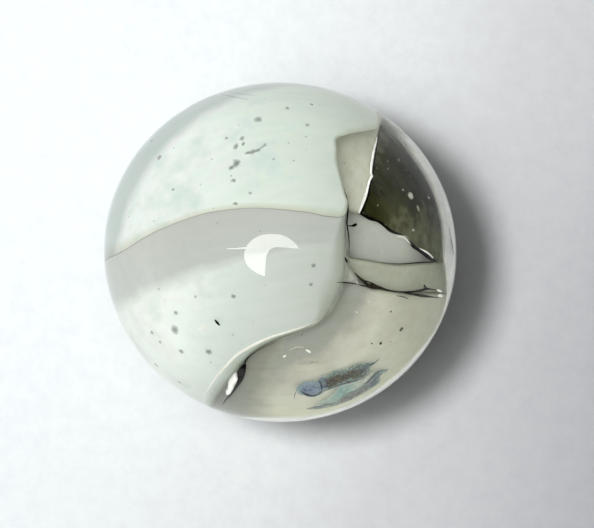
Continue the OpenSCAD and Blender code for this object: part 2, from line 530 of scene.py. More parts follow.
rimFold = {
    "depthMm": 0.5, "thickMm": 0.2, "bevelMm": 0.3, "meshMm": 0.3, "waveMm": 0.04,
    "thinEdge": 0.8, "softEdge": True,
    "throughLight": 0.18, "throughTo": -55, "throughMm": (3, 6.5),
    "outline": [
        (4.75, 5.9, 1.5), (5.25, 5.12, 1.0), (5.93, 4.3, 0.8), (6.5, 3.5, 0.7), (6.88, 2.63, 0.7),
        (7.14, 1.78, 0.6), (7.33, 0.6, 0.4), (7.42, 0.1),
        (7.72, -1.6), (7.45, -2.8), (6.8, -3.8), (5.5, -5.3), (4.8, -5.95), (3.65, -6.7), (1.9, -7.35),
        (-0.5, -7.6),
        ("globe", 255, 105), ("globe", 260, 148), ("globe", 290, 158), ("globe", 330, 158),
        ("globe", 10, 156), ("globe", 46, 148), ("globe", 50, 110, 1.0), ("globe", 51, 97, 1.5),
    ],
    "shadings": [((0, 0), [(5, "#fcfdf8"), (8, "#fcfdf8")])],
    "cloudMm": 1.2, "cloudTones": [(0.35, "#eceeea"), (0.6, "#ffffff")], "cloudShiftMm": 1.0,
    "streakMm": (3.0, 0.4), "streakAngle": 60, "streakTones": [(0.35, "#eceeec"), (0.6, "#ffffff")],
    "edgeShadeTones": [(0.0, "#d9dad2"), (1.0, "#ffffff")],
}

# frontFold, middleFold, backFold and cornerFold are greyed by their shadings, which paint the shade they lie
# in, deep in the ball behind the lobes and away from the lamps
frontFold = {
    "depthMm": 1.9, "thickMm": 0.3, "bevelMm": 0.12, "meshMm": 0.3, "waveMm": 0.06,
    "outline": [
        (2.4, 0.3), (3.1, 0.03), (3.9, -0.05), (4.9, -0.14), (5.45, -0.12), (6.05, -0.02), (6.7, 0.06),
        (7.45, 0.12), (8.0, 0.0),
        ("globe", -1, 117), ("globe", -8, 117), (7.85, -1.5), (6.6, -1.5), (5.66, -1.6), (4.72, -1.5),
        (4.12, -1.4), (3.4, -1.1), (2.4, -1.2),
    ],
    "shadings": [((-30, 0), [(32, "#c2c5b9"), (38, "#bdc1b4")])],
    "cloudMm": 2.2, "cloudTones": [(0.3, "#f6f6f2"), (0.7, "#ffffff")], "cloudShiftMm": 2.0,
    "streakMm": (3.0, 0.3), "streakAngle": 0, "streakTones": [(0.35, "#f4f4f0"), (0.6, "#ffffff")],
    "edgeShadeTones": [(0.0, "#b5b4a8"), (0.6, "#ffffff")],
}

middleFold = {
    "depthMm": 2.5, "thickMm": 0.3, "bevelMm": 0.1, "meshMm": 0.3, "waveMm": 0.04, "perStep": 3,
    "outline": [
        (2.4, 2.4), (3.2, 2.1), (3.5, 1.96), (3.9, 1.8), (4.26, 1.7), (4.6, 1.53), (4.9, 1.32),
        (5.2, 1.24), (5.52, 1.18), (5.75, 0.96), (5.96, 0.75), (6.4, 0.5), (6.72, 0.33), (7.08, 0.12),
        (7.0, -0.5), (5.0, -0.7), (3.0, -0.6),
    ],
    "shadings": [((-30, 0), [(32, "#cccecd"), (38, "#c8cbc8")])],
    "cloudMm": 2.5, "cloudTones": [(0.3, "#f6f6f4"), (0.7, "#ffffff")], "cloudShiftMm": 1.0,
    "streakMm": (4.0, 0.5), "streakAngle": -20, "streakTones": [(0.3, "#f8f8f6"), (0.7, "#ffffff")],
    "edgeShadeTones": [(0.0, "#b9b8ae"), (0.6, "#ffffff")],
}

backFold = {
    "depthMm": 1.6, "thickMm": 0.3, "bevelMm": 0.1, "meshMm": 0.3, "waveMm": 0.04, "perStep": 3,
    "outline": [
        (1.6, 2.2), (2.9, 2.0), (3.38, 2.02), (3.55, 2.6), (3.68, 3.4), (3.84, 3.7), (3.74, 3.86),
        (3.76, 4.4), (3.85, 5.0), (3.97, 5.6), (4.06, 6.05), (4.15, 6.6), (3.3, 6.9), (1.8, 6.3),
        (1.3, 4.5),
    ],
    "shadings": [((-30, 0), [(32, "#e3e4da"), (34, "#d9dacc")])],
    "cloudMm": 2.2, "cloudTones": [(0.3, "#f4f4ee"), (0.7, "#ffffff")], "cloudShiftMm": 1.0,
    "streakMm": (3.0, 0.4), "streakAngle": 80, "streakTones": [(0.35, "#f2f2ec"), (0.6, "#ffffff")],
    "edgeShadeTones": [(0.0, "#e8e6dc"), (0.6, "#ffffff")],
}

cornerFold = {
    "depthMm": 1.4, "thickMm": 0.05, "bevelMm": 0.35, "meshMm": 0.2, "perStep": 4,
    "thinEdge": 1.0, "softEdge": True,
    "outline": [
        (2.5, 0.1), (2.85, 0.05), (3.2, -0.25), (3.65, -0.85), (3.5, -1.25), (2.75, -1.3), (2.4, -0.6),
    ],
    "shadings": [((-30, 0), [(32, "#d2d4ce"), (34, "#cfd1ca")])],
    "cloudMm": 0.8, "cloudTones": [(0.35, "#f6f6f2"), (0.6, "#ffffff")], "cloudShiftMm": 0.5,
    "streakMm": (1.5, 0.2), "streakAngle": -45, "streakTones": [(0.35, "#f4f4f0"), (0.6, "#ffffff")],
    "edgeShadeTones": [(0.0, "#ffffff"), (1.0, "#ffffff")],
}


def lobeDive(direction):
    # the lower lobe comes up from deeper glass under the upper lobe's free edge
    start, end = lowerLobe["diveBetween"]
    t = min(1, max(0, (Vector(lowerLobe["diveTowards"]).dot(direction) - start) / (end - start)))
    return lowerLobe["diveMm"] * t * t * (3 - 2 * t)


folds = {
    "upperLobe": upperLobe, "lowerLobe": lowerLobe, "underFold": underFold, "rimFold": rimFold,
    "frontFold": frontFold, "middleFold": middleFold, "backFold": backFold, "cornerFold": cornerFold,
}
for fold, spec in folds.items():
    opal = opalGlass("opalGlass" + fold[0].upper() + fold[1:], spec)
    sheet(fold, spec, opal, lobeDive if fold == "lowerLobe" else None)
print("white folds made")

# a veil of painted shade in the clear window
paintedShadeWisp = {
    "depthMm": 3.0, "thickMm": 0.05, "bevelMm": 0.35, "meshMm": 0.3, "waveMm": 0.1, "perStep": 4,
    "outline": [
        (3.3, 2.1), (3.6, 3.4), (3.7, 4.5), (3.95, 6.4), (5.1, 5.55), (6.3, 4.2), (7.0, 2.9), (7.35, 1.6),
        (7.3, 0.1), (6.0, 0.3), (5.0, 1.0),
    ],
    "middle": (3.9, 2.58),
    "tonesMm": [(0, "#38391c"), (1.1, "#48492a"), (2.1, "#929478"), (2.8, "#b0b39c")],
    "wispMm": 0.8, "wispBetween": (0.35, 0.65), "driftMm": 3, "thinnest": 0.9, "thickest": 0.98,
}


def paintedShadeGlass(spec):
    # A thin olive-black veil in the clear window that pales to milk at its rim. Its dark is painted
    # shade, the shade under the marble that the window looks down into; its wisps are cloudiness in
    # the glass.
    material, tree = newMaterial("windowShadeVeil")
    place = add(tree, "ShaderNodeTexCoord").outputs["Object"]
    flat = add(tree, "ShaderNodeVectorMath", {"operation": "MULTIPLY", 1: (1, 1, 0)}, {0: place})
    middle = (spec["middle"][0] * mm, spec["middle"][1] * mm, 0)
    away = add(tree, "ShaderNodeVectorMath", {"operation": "DISTANCE", 1: middle}, {0: flat.outputs[0]})
    wisp = add(tree, "ShaderNodeTexNoise", {
        "Scale": 1 / (spec["wispMm"] * mm), "Detail": 4.0, "Roughness": 0.6}, {"Vector": place}).outputs[0]
    away = stirred(tree, away.outputs["Value"], wisp, spec["driftMm"] * mm)
    edge = add(tree, "ShaderNodeAttribute", {"attribute_name": "edgeShare"})
    thin = add(tree, "ShaderNodeMapRange", {
        "interpolation_type": "SMOOTHSTEP", "From Max": 1.0}, {"Value": edge.outputs["Fac"]})
    low, high = spec["wispBetween"]
    patch = add(tree, "ShaderNodeMapRange", {
        "From Min": low, "From Max": high, "To Min": spec["thinnest"], "To Max": spec["thickest"]},
        {"Value": wisp})
    alpha = add(tree, "ShaderNodeMath", {"operation": "MULTIPLY"}, {0: thin.outputs[0], 1: patch.outputs[0]})
    shader = add(tree, "ShaderNodeBsdfPrincipled", {
        "Roughness": 1.0, "IOR": glassIor, "Specular IOR Level": 0.0},
        {"Base Color": tonesAlong(tree, away, spec["tonesMm"]), "Alpha": alpha.outputs[0]})
    add(tree, "ShaderNodeOutputMaterial", {}, {"Surface": shader.outputs[0]})
    return material


sheet("paintedShadeWisp", paintedShadeWisp, paintedShadeGlass(paintedShadeWisp))
print("smoke in the window made")

# Dark lines where gaps between the folds and crack films show dark: their black is painted shade. The burnt
# fleck at the end is its own colour.
darkSeams = {
    "thickMm": 0.12, "perStep": 3,
    "paths": [
        # along the foot of the clear window
        (2.4, [(3.48, 2.0, 0.08), (3.9, 1.82, 0.13), (4.27, 1.73, 0.09), (4.6, 1.56, 0.13),
               (4.9, 1.34, 0.13), (5.2, 1.25, 0.08), (5.52, 1.2, 0.03)]),
        (2.35, [(5.6, 1.1, 0.02), (5.75, 0.98, 0.08), (5.96, 0.77, 0.17), (6.15, 0.64, 0.13),
                (6.4, 0.52, 0.15), (6.72, 0.34, 0.22), (7.0, 0.18, 0.13), (7.2, 0.08, 0.03)]),
        # the right flank of the window's left edge
        (1.55, [(3.49, 2.0, 0.1), (3.68, 2.5, 0.1), (3.8, 3.0, 0.08), (3.85, 3.5, 0.1), (3.95, 3.72, 0.06),
                (3.92, 4.0, 0.07), (3.95, 4.7, 0.04), (4.02, 5.3, 0.04), (4.1, 5.9, 0.02)]),
        # down the right edge of the lobes, with a speck that trails off it
        (0.8, [(2.66, 2.95, 0.02), (2.8, 2.65, 0.04), (2.89, 2.18, 0.07), (2.89, 1.5, 0.07),
               (3.0, 1.02, 0.06), (3.06, 0.6, 0.04), (3.1, 0.2, 0.01)]),
        (1.2, [(2.9, 1.4, 0.03), (3.1, 1.4, 0.06), (3.25, 1.45, 0.13), (3.33, 1.51, 0.08)]),
        (0.7, [(2.92, -0.02, 0.05), (2.99, -0.15, 0.1), (3.06, -0.26, 0.04)]),
        # under the lip of the lower lobe, down to the sliver
        (1.35, [(0.1, -4.06, 0.01), (-0.3, -4.28, 0.02), (-0.72, -4.55, 0.03), (-1.03, -4.83, 0.05),
                (-1.2, -5.1, 0.08)]),
        (1.2, [(-1.75, -6.65, 0.1), (-1.93, -6.88, 0.07), (-2.08, -7.16, 0.03)]),
        # a burnt fleck
        (0.5, [(-2.67, -3.26, 0.05), (-2.55, -3.38, 0.13), (-2.42, -3.5, 0.06)]),
    ],
}

coolingCrack = {
    "thickMm": 0.12, "perStep": 3,
    "paths": [
        (1.4, [(3.42, -0.68, 0.03), (3.7, -0.92, 0.09), (3.97, -1.12, 0.12), (4.25, -1.22, 0.16),
               (4.6, -1.26, 0.13), (5.0, -1.35, 0.08), (5.5, -1.38, 0.07), (6.05, -1.34, 0.08),
               (6.53, -1.23, 0.1), (6.72, -1.15, 0.12), (6.95, -1.15, 0.05), (7.35, -1.19, 0.03)]),
        (1.4, [(3.55, -0.78, 0.02), (3.86, -0.99, 0.06), (4.12, -1.04, 0.05), (4.35, -1.15, 0.1),
               (4.6, -1.23, 0.05)]),
        (1.4, [(3.7, -1.2, 0.02), (4.0, -1.24, 0.06), (4.3, -1.3, 0.07), (4.6, -1.32, 0.02)]),
        (1.4, [(5.6, -1.39, 0.03), (5.95, -1.43, 0.06), (6.3, -1.45, 0.1), (6.6, -1.48, 0.12),
               (7.05, -1.5, 0.06), (7.4, -1.52, 0.02)]),
        (1.4, [(6.64, -1.0, 0.1), (6.72, -1.12, 0.1)]),
        (0.8, [(2.65, -1.18, 0.02), (3.05, -1.14, 0.06), (3.55, -1.18, 0.04), (3.9, -1.28, 0.02)]),
        (1.4, [(5.38, -1.57, 0.02), (5.65, -1.58, 0.04), (5.95, -1.66, 0.03)]),
        # between the triangle and the band
        (1.8, [(4.6, -0.12, 0.01), (5.4, -0.12, 0.03), (6.05, -0.03, 0.05), (6.7, 0.06, 0.06),
               (7.2, 0.1, 0.03)]),
    ],
}

# painted glints: white sparks with a glow, where light would catch lips, cracks and specks
litLipGlints = {
    "thickMm": 0.12, "perStep": 3,
    "paths": [
        # the lit lip on the window's left edge
        (1.45, [(3.4, 2.03, 0.08), (3.54, 2.45, 0.11), (3.65, 2.86, 0.12), (3.76, 3.5, 0.1),
                (3.88, 3.74, 0.1)]),
        (1.45, [(3.9, 3.74, 0.06), (3.81, 3.86, 0.09), (3.81, 4.3, 0.11), (3.87, 4.9, 0.1),
                (3.95, 5.3, 0.06), (3.98, 5.55, 0.03)]),
        (2.3, [(5.25, 1.12, 0.02), (5.6, 1.06, 0.05), (5.88, 0.8, 0.02)]),
        (2.25, [(6.3, 0.66, 0.02), (6.7, 0.48, 0.08), (6.97, 0.27, 0.05)]),
        # lit flecks at the end of the crack
        (1.35, [(7.24, -1.16, 0.02), (7.38, -1.19, 0.1), (7.5, -1.24, 0.03)]),
        (1.35, [(7.32, -1.4, 0.02), (7.45, -1.41, 0.12), (7.58, -1.44, 0.03)]),
        # a painted reflection of the top lamp off the far side of the ball, two glints and a faint arc,
        # over the lower fold
        (1.2, [(0.53, -4.7, 0.1), (0.62, -4.62, 0.08)]),
        (1.2, [(1.52, -4.3, 0.05), (1.64, -4.36, 0.1), (1.72, -4.4, 0.05)]),
        (1.2, [(0.75, -4.38, 0.01), (1.1, -4.2, 0.015), (1.4, -4.2, 0.01)]),
        # a painted streak of highlight beside the top lamp's highlight
        (0.3, [(-2.35, -0.05, 0.02), (-1.9, -0.01, 0.05), (-1.5, 0.05, 0.06)]),
        # painted glints of specks under the band
        (0.9, [(3.62, -2.44, 0.07), (3.68, -2.43, 0.05)]),
        (0.9, [(4.14, -1.98, 0.05), (4.2, -1.88, 0.05)]),
    ],
}

# a painted highlight along the lower lobe's lip, where its edge catches the light
lobeLip = {
    "thickMm": 0.06, "perStep": 3,
    "paths": [
        (0.68, [(1.9, -2.97, 0.01), (1.6, -3.12, 0.04), (1.18, -3.33, 0.08), (0.66, -3.54, 0.1),
                (0.02, -3.79, 0.11), (-0.55, -4.08, 0.12), (-1.06, -4.4, 0.13), (-1.56, -4.77, 0.13),
                (-1.98, -5.27, 0.12), (-2.4, -5.83, 0.1), (-2.81, -6.53, 0.07), (-3.05, -6.88, 0.02)]),
        (0.68, [(-3.4, -3.79, 0.02), (-3.22, -3.71, 0.08), (-3.03, -3.57, 0.02)]),
    ],
}

# a sliver of crack film: its black side is painted shade, and its white side, sliverLip, a painted glint
sliver = {
    "depthMm": 1.2, "thickMm": 0.1, "bevelMm": 0.03, "meshMm": 0.12, "perStep": 2,
    "outline": [
        (-1.15, -5.1), (-1.12, -5.5), (-1.22, -5.9), (-1.43, -6.25), (-1.65, -6.6), (-1.78, -6.78),
        (-1.72, -6.5), (-1.6, -6.2), (-1.45, -5.85), (-1.5, -5.55), (-1.4, -5.38),
    ],
}

sliverLip = {
    "depthMm": 1.15, "thickMm": 0.1, "bevelMm": 0.03, "meshMm": 0.12, "perStep": 2,
    "outline": [
        (-1.56, -5.55), (-1.78, -5.78), (-1.88, -6.05), (-1.88, -6.28), (-1.97, -6.5), (-1.9, -6.68),
        (-1.72, -6.55), (-1.6, -6.25), (-1.46, -5.92), (-1.52, -5.75),
    ],
}


def crackFilm(name, dark, light):
    # An air film in a cooling crack turns the light away, so it reads near black. That black is
    # painted shade, a dark matt tone.
    return evenMaterial(name, grainMm=0.3, tones=[(0.4, dark), (0.75, light)], settings={
        "Roughness": 0.9, "IOR": glassIor, "Specular IOR Level": 0.0})


def litCrack(name, dull, bright, glow):
    # An air film met at a grazing angle. It gathers light from the whole marble and throws it up,
    # so it reads as a white spark, a little brighter than opal lit from above. The spark is a painted
    # glint: a white tone with a glow of its own.
    return evenMaterial(name, grainMm=0.4, tones=[(0.3, dull), (0.6, bright)], settings={
        "Roughness": 0.6, "IOR": glassIor, "Emission Color": linear("#ffffff"), "Emission Strength": glow})


lit = litCrack("airFilmInGlassLit", "#f4f4ee", "#ffffff", 0.35)
film = crackFilm("airFilmInGlass", "#000000", "#14130e")
threads("darkSeams", darkSeams, film)
threads("coolingCrack", coolingCrack, crackFilm("airFilmInGlassBrown", "#0a0906", "#4a4536"))
threads("litLips", litLipGlints, lit)
threads("lobeLip", lobeLip, litCrack("opalGlassLipHighlight", "#f0ece2", "#fbfaf5", 0.1))
sheet("sliver", sliver, film)
sheet("sliverLit", sliverLip, lit)
print("cracks and lips made")

filmIsland = {
    "depthMm": 1.3, "thickMm": 0.05, "bevelMm": 0.18, "meshMm": 0.12, "waveMm": 0.05, "waveScale": 9,
    "perStep": 3,
    "outline": [
        (1.42, -6.38), (1.22, -6.23), (1.25, -6.03), (1.37, -5.85), (1.76, -5.76), (2.15, -5.63),
        (2.33, -5.41), (2.53, -5.37), (2.78, -5.21), (3.04, -5.13), (3.43, -5.03), (3.62, -4.9),
        (3.88, -4.8), (4.14, -4.76), (4.4, -4.69), (4.66, -4.64), (4.88, -4.49), (4.7, -4.71),
        (4.51, -4.88), (4.46, -5.11), (4.25, -5.4), (3.93, -5.55), (3.55, -5.68), (3.1, -5.85),
        (2.71, -6.05), (2.46, -6.2), (2.27, -6.35), (1.95, -6.44), (1.68, -6.39),
    ],
    "tones": [(0.0, "#a2bcc0"), (0.1, "#8c9dbc"), (0.24, "#a6b3ca"), (0.31, "#5e6878"), (0.36, "#67634f"),
              (0.6, "#6c6858"), (0.8, "#767a78"), (0.9, "#8896a4"), (1.0, "#a6b8bc")],
    "fleck": "#868d9c", "fringe": "#a9c2c2", "lowMm": -1.45, "highMm": 2.4,
}

filmShore = {
    "depthMm": 1.3, "thickMm": 0.05, "bevelMm": 0.16, "meshMm": 0.12, "waveMm": 0.05, "waveScale": 9,
    "perStep": 3,
    "outline": [
        (1.73, -7.07), (2.06, -6.95), (2.31, -6.84), (2.64, -6.73), (2.96, -6.66), (3.18, -6.51),
        (3.3, -6.33), (3.46, -6.22), (3.71, -6.11), (3.97, -5.98), (4.22, -5.8), (4.44, -5.61),
        (4.55, -5.41), (4.74, -5.23), (4.86, -5.05), (5.08, -5.0), (5.41, -4.92), (5.22, -5.09),
        (5.07, -5.2), (5.02, -5.4), (5.0, -5.6), (4.78, -5.79), (4.53, -5.97), (4.18, -6.2),
        (3.93, -6.38), (3.68, -6.53), (3.36, -6.67), (2.98, -6.84), (2.65, -6.93), (2.33, -7.01),
    ],
    "tones": [(0.0, "#3f5468"), (0.15, "#5f7280"), (0.28, "#8b8a84"), (0.45, "#857c78"), (0.6, "#8a827e"),
              (0.75, "#6d7a84"), (0.9, "#7c90a0"), (1.0, "#a0b4bb")],
    "fleck": "#868d9c", "fringe": "#b0c6c4", "lowMm": -1.4, "highMm": 2.6,
}

filmStrait = {
    "depthMm": 1.36, "thickMm": 0.04, "bevelMm": 0.1, "meshMm": 0.12, "waveMm": 0.05, "waveScale": 9,
    "perStep": 3,
    "outline": [
        (2.1, -6.75), (2.8, -6.35), (2.98, -6.05), (3.15, -5.78), (3.5, -5.68), (4.0, -5.5), (4.4, -5.25),
        (4.7, -4.95), (4.65, -5.25), (4.4, -5.6), (4.0, -5.95), (3.7, -6.3), (3.45, -6.5), (3.2, -6.62),
        (2.7, -6.72),
    ],
    "tones": [(0.0, "#d4e0d8"), (0.3, "#b9d3cd"), (0.45, "#a6cdc9"), (0.6, "#b9d3cd"), (0.72, "#d6dfd6"),
              (1.0, "#e2e6dc")],
    "fleck": "#d6e0e0", "fringe": "#dce3da", "lowMm": -1.0, "highMm": 1.8,
}

filmEdges = {
    "thickMm": 0.05, "perStep": 3,
    "paths": [
        # the dark underside of the island, and the break across it
        (1.25, [(1.42, -6.2, 0.02), (1.55, -6.29, 0.1), (1.75, -6.38, 0.16), (2.02, -6.4, 0.14),
                (2.27, -6.28, 0.08), (2.4, -6.1, 0.03)]),
        (1.25, [(2.2, -5.64, 0.03), (2.3, -5.8, 0.06), (2.36, -5.98, 0.07), (2.38, -6.1, 0.03)]),
        (1.25, [(2.45, -6.17, 0.02), (2.8, -5.98, 0.05), (3.2, -5.8, 0.04), (3.6, -5.66, 0.05),
                (4.0, -5.52, 0.03)]),
        (1.25, [(4.3, -4.85, 0.02), (4.6, -4.72, 0.06), (4.88, -4.48, 0.03)]),
        # the thread that hangs from its left end
        (1.25, [(1.24, -6.2, 0.02), (1.18, -6.4, 0.03), (1.16, -6.6, 0.01)]),
        # the dark strokes along the shore
        (1.25, [(1.75, -7.06, 0.03), (2.1, -6.93, 0.08), (2.3, -6.89, 0.13), (2.45, -6.84, 0.06),
                (2.8, -6.76, 0.03)]),
        (1.25, [(4.3, -5.72, 0.02), (4.5, -5.52, 0.08), (4.72, -5.25, 0.07), (4.95, -5.05, 0.05),
                (5.35, -4.94, 0.02)]),
        (1.25, [(3.0, -6.8, 0.02), (3.6, -6.55, 0.05), (4.1, -6.24, 0.05), (4.5, -5.98, 0.02)]),
        # a stray film at the rim of the window
        (0.35, [(7.62, 1.75, 0.03), (7.74, 1.25, 0.12), (7.85, 0.88, 0.18), (7.93, 0.52, 0.06)]),
    ],
}

filmGap = {
    "along": (0.9, 0.43, 0), "gapNm": 320.0, "cloudMm": 0.3, "driftMm": 1.4, "fleckMm": 0.14,
    # in bevel widths, how far cloud and flecks shift the edge, and where it pales and closes
    "ragged": 4.0, "frayed": 5.0, "pale": (0.4, 1.3), "closed": 0.5,
}


def rainbowFilm(name, spec):
    # A thin gap inside the glass, which splits the light like oil on water: slate blue, lilac and
    # turquoise over an olive brown that is seen through it, ragged and pale where it closes. Its thin
    # film makes some of these colours, and the rest are painted sheen in its tone.
    material, tree = newMaterial(name)
    place = add(tree, "ShaderNodeTexCoord").outputs["Object"]
    along = add(tree, "ShaderNodeVectorMath", {"operation": "DOT_PRODUCT", 1: filmGap["along"]}, {0: place})
    cloud = add(tree, "ShaderNodeTexNoise", {
        "Scale": 1 / (filmGap["cloudMm"] * mm), "Detail": 4.0, "Roughness": 0.7},
        {"Vector": place}).outputs[0]
    along = stirred(tree, along.outputs["Value"], cloud, filmGap["driftMm"] * mm)
    spread = add(tree, "ShaderNodeMapRange", {
        "From Min": spec["lowMm"] * mm, "From Max": spec["highMm"] * mm}, {"Value": along})
    tone = add(tree, "ShaderNodeValToRGB", {"stops": spec["tones"]}, {"Fac": spread.outputs[0]})
    fleck, fleckTone = mottle(tree, place, filmGap["fleckMm"], [(0.35, spec["fleck"]), (0.55, "#ffffff")])
    flecked = add(tree, "ShaderNodeMix", {"data_type": "RGBA", "blend_type": "MULTIPLY", 0: 1.0},
                  {6: tone.outputs[0], 7: fleckTone})
    edge = add(tree, "ShaderNodeAttribute", {"attribute_name": "edgeShare"}).outputs["Fac"]
    for pattern, widths in ((cloud, filmGap["ragged"]), (fleck, filmGap["frayed"])):
        edge = stirred(tree, edge, pattern, widths)
    paleTo, paleFrom = filmGap["pale"]
    pale = add(tree, "ShaderNodeMapRange", {
        "From Min": paleTo, "From Max": paleFrom, "To Min": 1.0, "To Max": 0.0}, {"Value": edge})
    fringed = add(tree, "ShaderNodeMix", {"data_type": "RGBA", 7: linear(spec["fringe"])},
                  {0: pale.outputs[0], 6: flecked.outputs[2]})
    closing = add(tree, "ShaderNodeMapRange", {"From Max": filmGap["closed"]}, {"Value": edge})
    shader = add(tree, "ShaderNodeBsdfPrincipled", {
        "Roughness": 0.5, "IOR": glassIor, "Thin Film Thickness": filmGap["gapNm"], "Thin Film IOR": 1.0},
        {"Base Color": fringed.outputs[2], "Alpha": closing.outputs[0]})
    add(tree, "ShaderNodeOutputMaterial", {}, {"Surface": shader.outputs[0]})
    return material


def filmShadow():
    # Where the film folds under itself it reads as a dark slate line
    tones = [(0.35, "#26344a"), (0.7, "#566878")]
    return evenMaterial("airFilmInGlassSlate", grainMm=0.25, tones=tones, settings={
        "Roughness": 0.7, "IOR": glassIor})


sheet("filmIsland", filmIsland, rainbowFilm("airFilmInGlassLilac", filmIsland))
sheet("filmShore", filmShore, rainbowFilm("airFilmInGlassOlive", filmShore))
sheet("filmStrait", filmStrait, rainbowFilm("airFilmInGlassTurquoise", filmStrait))
threads("filmEdges", filmEdges, filmShadow())
print("rainbow films made")

airBubbles = {
    "detail": 3, "uneven": 0.0,
    "places": [
        (5.7, 3.0, 2.2, 0.26, 0.32, 40), (6.55, 3.0, 1.2, 0.13, 0.13, 0), (6.08, 2.47, 2.0, 0.14, 0.24, 95),
        (0.8, 5.8, 0.22, 0.12, 0.12, 0), (-3.6, -2.3, 0.3, 0.1, 0.1, 0), (-0.6, 4.1, 0.22, 0.09, 0.1, 0),
    ],
    "strayCount": 60, "strayMm": (0.03, 0.07), "strayDepthMm": (0.12, 0.38), "strayReachMm": 7.2,
    "seed": 12,
}

# pale specks that paint the bright glints of the bubbles in the window
bubbleGlintSpecks = {
    "detail": 2, "uneven": 0.3, "shells": (1.2, 0.9, 0.5),
    "places": [
        # in the window
        (5.7, 3.02, 2.0, 0.22, 0.28, 100), (6.56, 2.98, 1.1, 0.1, 0.12, 0),
        (6.08, 2.49, 1.9, 0.09, 0.17, 100), (4.24, 2.44, 2.4, 0.07, 0.08, 0),
        (5.34, 3.25, 2.4, 0.05, 0.1, 60), (5.94, 1.46, 2.2, 0.08, 0.1, 0),
        (4.55, 4.48, 2.3, 0.07, 0.08, 30), (5.05, 4.6, 2.1, 0.08, 0.08, 30),
        (4.58, 4.15, 2.4, 0.05, 0.06, 0),
    ],
}

ashFlecks = {
    "detail": 2, "uneven": 0.6, "shells": (1.6, 1.15, 0.7),
    "places": [
        # over the upper lobe
        (-1.44, 5.88, 0.3, 0.2, 0.28, 15), (-2.1, 4.95, 0.3, 0.12, 0.2, 80),
        (-2.02, 4.7, 0.3, 0.1, 0.16, 80), (-2.34, 4.56, 0.3, 0.14, 0.24, 80),
        (-2.8, 4.91, 0.3, 0.1, 0.12, 0), (-2.24, 3.79, 0.3, 0.2, 0.26, 60),
        (-2.46, 3.58, 0.3, 0.14, 0.18, 20), (-2.3, 3.01, 0.3, 0.12, 0.14, 0),
        (-1.52, 2.5, 0.3, 0.08, 0.1, 0), (-2.14, 1.98, 0.3, 0.08, 0.14, 0),
        (-0.18, 6.51, 0.3, 0.12, 0.18, 90), (0.77, 5.79, 0.3, 0.12, 0.15, 60),
        (0.91, 6.78, 0.3, 0.1, 0.14, 90), (-5.79, 3.84, 0.3, 0.14, 0.17, 0),
        (-6.27, 4.62, 0.3, 0.12, 0.14, 0), (-5.0, 2.42, 0.3, 0.08, 0.1, 0),
        (-1.78, 4.31, 0.3, 0.1, 0.2, 20), (-1.56, 4.36, 0.3, 0.13, 0.22, 25),
        (-1.34, 4.46, 0.3, 0.1, 0.2, 35), (-1.18, 4.6, 0.3, 0.07, 0.16, 50),
        (-1.05, 4.72, 0.3, 0.1, 0.14, 60),
        # over the lower lobe
        (-1.9, -2.15, 0.5, 0.12, 0.14, 0), (1.5, -1.35, 0.5, 0.1, 0.12, 0),
        (1.55, -0.5, 0.5, 0.12, 0.14, 0), (-4.45, -3.87, 0.5, 0.24, 0.3, 90),
        (-4.45, -3.1, 0.5, 0.12, 0.16, 0), (-5.5, -4.1, 0.5, 0.12, 0.14, 0),
        (-4.1, -4.83, 0.5, 0.15, 0.17, 90), (-2.85, -4.73, 0.5, 0.18, 0.2, 0),
        (-5.1, -4.5, 0.5, 0.1, 0.1, 0), (-5.25, -5.6, 0.5, 0.1, 0.2, 160),
        (-4.12, -6.3, 0.5, 0.08, 0.12, 0),
    ],
}

burntFlecks = {
    "detail": 2, "uneven": 0.6,
    "places": [
        (5.76, -3.05, 1.3, 0.14, 0.22, 50), (4.86, -3.77, 1.3, 0.12, 0.15, 80),
        (4.46, -3.8, 1.3, 0.07, 0.1, 0), (2.7, -1.55, 1.3, 0.07, 0.08, 0), (5.2, -2.3, 1.3, 0.06, 0.09, 30),
    ],
}

ashTrails = {
    "thickMm": 0.05, "perStep": 3,
    "paths": [
        # drawn wisps where the rim strip runs out
        (0.3, [(-3.3, 6.98, 0.03), (-2.9, 6.93, 0.07), (-2.4, 6.84, 0.05), (-1.9, 6.78, 0.02)]),
        (0.3, [(-2.9, 7.1, 0.02), (-2.3, 7.05, 0.06), (-1.6, 7.0, 0.02)]),
        # a brown haze of it by the films
        (1.3, [(1.2, -4.9, 0.03), (1.4, -4.96, 0.08), (1.6, -4.95, 0.05), (1.8, -4.88, 0.09),
               (2.12, -4.8, 0.04)]),
        (1.3, [(1.3, -4.86, 0.02), (1.55, -4.88, 0.05), (1.9, -4.8, 0.03)]),
    ],
}


def makeBubbles(spec):
    # a seeded scatter of pinhead bubbles goes with the ones that stand out
    random.seed(spec["seed"])
    strays = []
    for i in range(spec["strayCount"]):
        turn, away = random.uniform(0, 2 * math.pi), spec["strayReachMm"] * math.sqrt(random.random())
        size = random.uniform(*spec["strayMm"])
        strays.append((away * math.cos(turn), away * math.sin(turn), random.uniform(*spec["strayDepthMm"]),
                       size, size, 0))
    material, tree = newMaterial("airInGlass")
    # Air in glass: the ratio of the two, so a bubble shows a dark ring and a bright middle
    shader = add(tree, "ShaderNodeBsdfPrincipled", {
        "Base Color": linear("#ffffff"), "Roughness": 0.0, "IOR": 1 / glassIor, "Transmission Weight": 1.0})
    add(tree, "ShaderNodeOutputMaterial", {}, {"Surface": shader.outputs[0]})
    pebbles("airBubbles", dict(spec, places=spec["places"] + strays), material)


def crumbs(name, dark, light, opacity):
    # Crumbs caught in the gather, half melted into the glass, so they are soft and uneven in tone.
    # The pale ones in the window are painted glints of bubbles instead.
    return evenMaterial(name, grainMm=0.12, tones=[(0.35, dark), (0.65, light)], settings={
        "Roughness": 0.8, "Specular IOR Level": 0.0, "Alpha": opacity})


